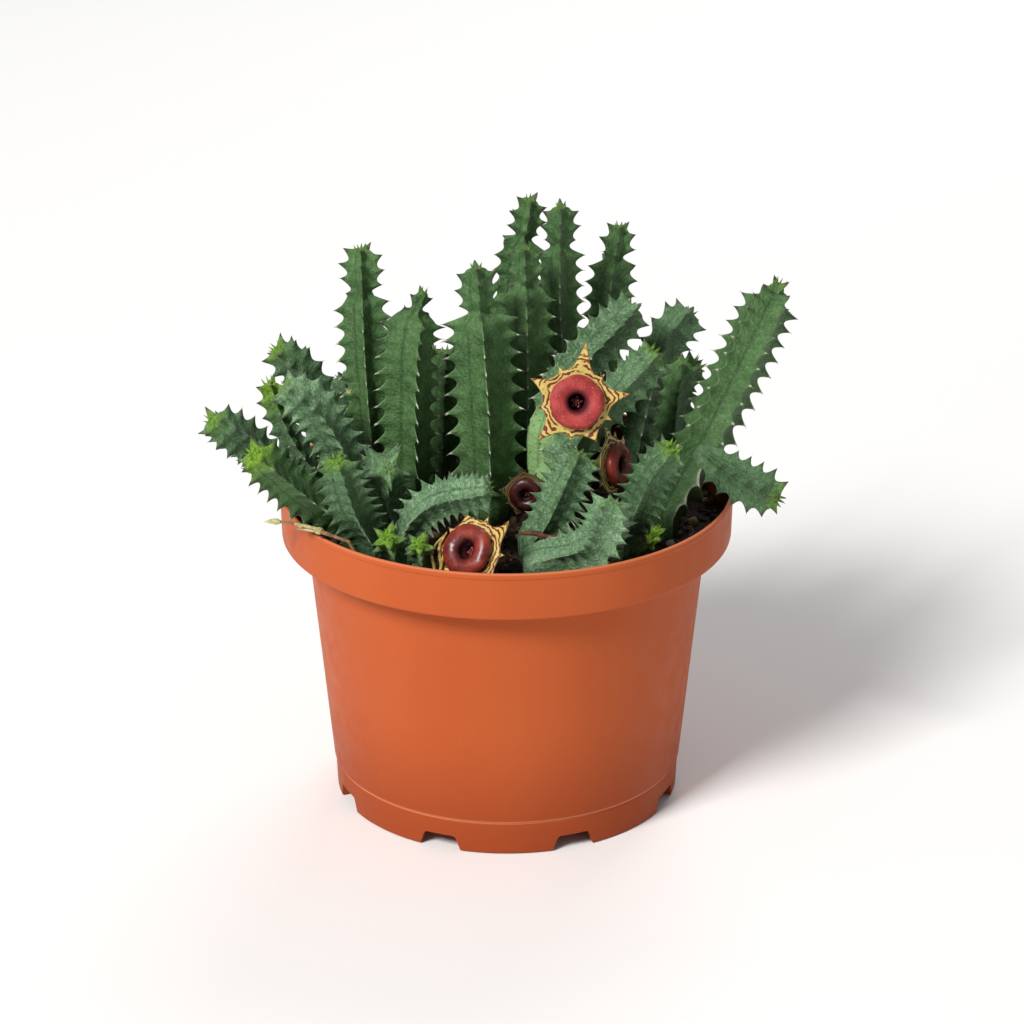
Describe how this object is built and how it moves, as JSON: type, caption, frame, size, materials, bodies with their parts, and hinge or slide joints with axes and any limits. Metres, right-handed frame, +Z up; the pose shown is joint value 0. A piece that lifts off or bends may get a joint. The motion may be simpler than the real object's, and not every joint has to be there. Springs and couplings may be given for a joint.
{
  "type": "potted lifesaver cactus",
  "caption": "Clump of toothed succulent stems with ringed star flowers, standing in soil in a round plastic grower pot.",
  "frame": {"origin": "on the ground at the pot's axis, the middle of the part's footprint", "axes": "+Z up along the pot's axis; -Y is the front of the plant, where the flowers face; +X to the right of the front view"},
  "size_m": [0.1964, 0.1524, 0.197],
  "materials": {
    "pot": "satin terracotta-coloured moulded plastic",
    "soil": "coarse dark peat with light fibres",
    "stem": "waxy mottled green skin, darker teeth with pale points",
    "young_stem": "fresh yellow-green skin",
    "corolla": "pale yellow with fine maroon stripes",
    "annulus": "fleshy red ring, softly glossy",
    "corona": "dark maroon, glossy",
    "dried_bloom": "dry papery straw colour"
  },
  "bodies": {
    "root": {"dried_flower": "dried_bloom", "flower_hidden_annulus": "annulus", "flower_hidden_corolla": "corolla", "flower_hidden_corona": "corona", "flower_low_annulus": "annulus", "flower_low_corolla": "corolla", "flower_low_corona": "corona", "flower_main_annulus": "annulus", "flower_main_corolla": "corolla", "flower_main_corona": "corona", "flower_right_annulus": "annulus", "flower_right_corolla": "corolla", "flower_right_corona": "corona", "pot": "pot", "shoot_centre": "young_stem", "shoot_left": "young_stem", "shoot_right": "young_stem", "soil": "soil", "stem_back_centre": "stem", "stem_back_left": "stem", "stem_back_left_low": "stem", "stem_back_left_lying": "stem", "stem_back_right": "stem", "stem_back_right_low": "stem", "stem_broad_left": "stem", "stem_central_front": "stem", "stem_central_rear": "stem", "stem_far_left": "stem", "stem_front_centre": "stem", "stem_front_left_lying": "stem", "stem_front_left_upright": "stem", "stem_front_right_lying": "stem", "stem_front_right_upright": "stem", "stem_left_end_on": "stem", "stem_left_middle": "stem", "stem_left_rear": "stem", "stem_left_young": "young_stem", "stem_low_left": "stem", "stem_middle_filler": "stem", "stem_right_far": "stem", "stem_right_leaning": "stem", "stem_right_middle": "stem", "stem_right_rear": "stem", "stem_right_shaded": "stem", "stem_tall_centre": "stem", "stem_tall_left": "stem", "stem_tall_right": "stem", "stem_tallest": "stem"}
  },
  "joints": []
}
